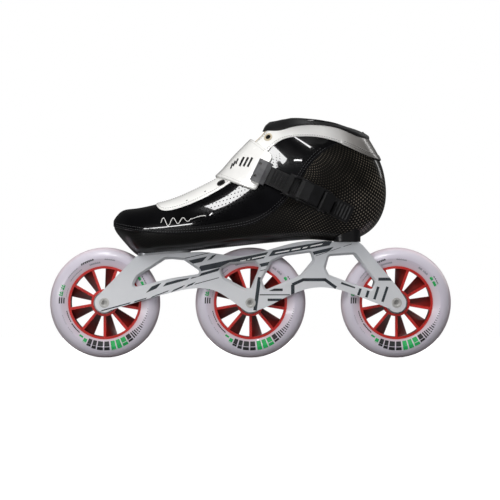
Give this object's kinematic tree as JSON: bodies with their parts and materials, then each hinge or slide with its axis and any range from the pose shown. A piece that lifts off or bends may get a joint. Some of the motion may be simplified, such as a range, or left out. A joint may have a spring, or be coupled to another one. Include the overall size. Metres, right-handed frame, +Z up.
{
  "type": "inline speed skate",
  "caption": "Left inline speed skate: low carbon-fibre boot with ratchet buckle on an aluminium frame carrying large urethane wheels in line.",
  "frame": {"origin": "on the floor below the middle axle, midway across the skate", "axes": "toe towards -X, outer side of the foot towards -Y, +Z up"},
  "size_m": [0.4004, 0.1014, 0.2393],
  "materials": {
    "tyre": "satin translucent polyurethane",
    "hub": "gloss",
    "bearing_steel": "ground",
    "cage": "satin",
    "axle": "satin",
    "frame": "satin",
    "bolt": "black oxide",
    "washer": "satin",
    "carbon": "clear-coated woven carbon fibre",
    "patent_black": "gloss patent",
    "collar_band": "satin",
    "padding": "soft",
    "tongue": "satin",
    "insole": "matte",
    "eyelet": "satin",
    "mount": "satin",
    "buckle_plastic": "satin moulded nylon",
    "ladder": "satin moulded nylon",
    "clamp": "satin",
    "mount_black": "satin black",
    "strap": "gloss"
  },
  "bodies": {
    "chassis": {"frame": "frame", "front_axle": "axle", "front_axle_spacer": "mount", "front_bearing_inner_rings": "bearing_steel", "middle_axle": "axle", "middle_axle_spacer": "mount", "middle_bearing_inner_rings": "bearing_steel", "rear_axle": "axle", "rear_axle_spacer": "mount", "rear_bearing_inner_rings": "bearing_steel"},
    "front_wheel": {"front_tyre": "tyre", "front_hub": "hub", "front_bearing_outer_rings": "bearing_steel", "front_bearing_shields": "bearing_steel"},
    "middle_wheel": {"middle_tyre": "tyre", "middle_hub": "hub", "middle_bearing_outer_rings": "bearing_steel", "middle_bearing_shields": "bearing_steel"},
    "rear_wheel": {"rear_tyre": "tyre", "rear_hub": "hub", "rear_bearing_outer_rings": "bearing_steel", "rear_bearing_shields": "bearing_steel"},
    "front_cages": {"front_bearing_balls": "bearing_steel", "front_bearing_cages": "cage"},
    "middle_cages": {"middle_bearing_balls": "bearing_steel", "middle_bearing_cages": "cage"},
    "rear_cages": {"rear_bearing_balls": "bearing_steel", "rear_bearing_cages": "cage"},
    "boot": {"carbon_shell": "carbon", "upper": "patent_black", "collar_band": "collar_band", "collar_liner": "padding", "tongue": "tongue", "insole": "insole", "eyelets": "eyelet", "front_mount_block": "mount", "rear_mount_block": "mount_black", "front_mounting_bolt": "bolt", "rear_mounting_bolt": "bolt", "front_washer": "washer", "rear_washer": "washer", "buckle_base": "buckle_plastic", "buckle_mount_screws": "bolt", "lever_axle": "axle", "release_axle": "axle", "lever_spring": "bearing_steel", "release_spring": "bearing_steel", "strap_rivet": "eyelet"},
    "pull_lever": {"pull_lever": "buckle_plastic"},
    "release_lever": {"release_lever": "buckle_plastic"},
    "ladder": {"ladder_strap": "ladder", "ladder_clamp": "clamp", "clamp_rivets": "eyelet", "instep_strap": "strap"}
  },
  "joints": [
    {"name": "boot_side_shift", "type": "slide", "parent": "chassis", "child": "boot", "axis": [0, 1, 0], "range_m": [-0.0035, 0.0035]},
    {"name": "front_wheel_spin", "type": "hinge", "parent": "chassis", "child": "front_wheel", "pos_m": [-0.14525, 0, 0.055], "axis": [0, 1, 0], "continuous": true},
    {"name": "front_cages_spin", "type": "hinge", "parent": "chassis", "child": "front_cages", "pos_m": [-0.14525, 0, 0.055], "axis": [0, 1, 0], "continuous": true},
    {"name": "middle_wheel_spin", "type": "hinge", "parent": "chassis", "child": "middle_wheel", "pos_m": [0, 0, 0.055], "axis": [0, 1, 0], "continuous": true},
    {"name": "middle_cages_spin", "type": "hinge", "parent": "chassis", "child": "middle_cages", "pos_m": [0, 0, 0.055], "axis": [0, 1, 0], "continuous": true},
    {"name": "rear_wheel_spin", "type": "hinge", "parent": "chassis", "child": "rear_wheel", "pos_m": [0.14525, 0, 0.055], "axis": [0, 1, 0], "continuous": true},
    {"name": "rear_cages_spin", "type": "hinge", "parent": "chassis", "child": "rear_cages", "pos_m": [0.14525, 0, 0.055], "axis": [0, 1, 0], "continuous": true},
    {"name": "ladder_feed", "type": "hinge", "parent": "boot", "child": "ladder", "pos_m": [0.0284, 0.25781, 0.14631], "axis": [0.4284, 0.0893, 0.8992], "range_deg": [-4.7, 2.6], "deforming": ["instep_strap"]},
    {"name": "pull_lever_pivot", "type": "hinge", "parent": "boot", "child": "pull_lever", "pos_m": [0.05039, -0.04896, 0.1663], "axis": [-0.4284, -0.0893, -0.8992], "range_deg": [0, 60], "stiffness_Nm_per_rad": 0.02, "springref_deg": -11.46},
    {"name": "release_lever_pivot", "type": "hinge", "parent": "boot", "child": "release_lever", "pos_m": [0.07142, -0.04601, 0.15599], "axis": [0.4284, 0.0893, 0.8992], "range_deg": [0, 12], "stiffness_Nm_per_rad": 0.02, "springref_deg": -11.46}
  ],
  "couplings": [
    {"joint": "front_cages_spin", "follows": "front_wheel_spin", "ratio": 0.6287},
    {"joint": "middle_cages_spin", "follows": "middle_wheel_spin", "ratio": 0.6287},
    {"joint": "rear_cages_spin", "follows": "rear_wheel_spin", "ratio": 0.6287}
  ]
}
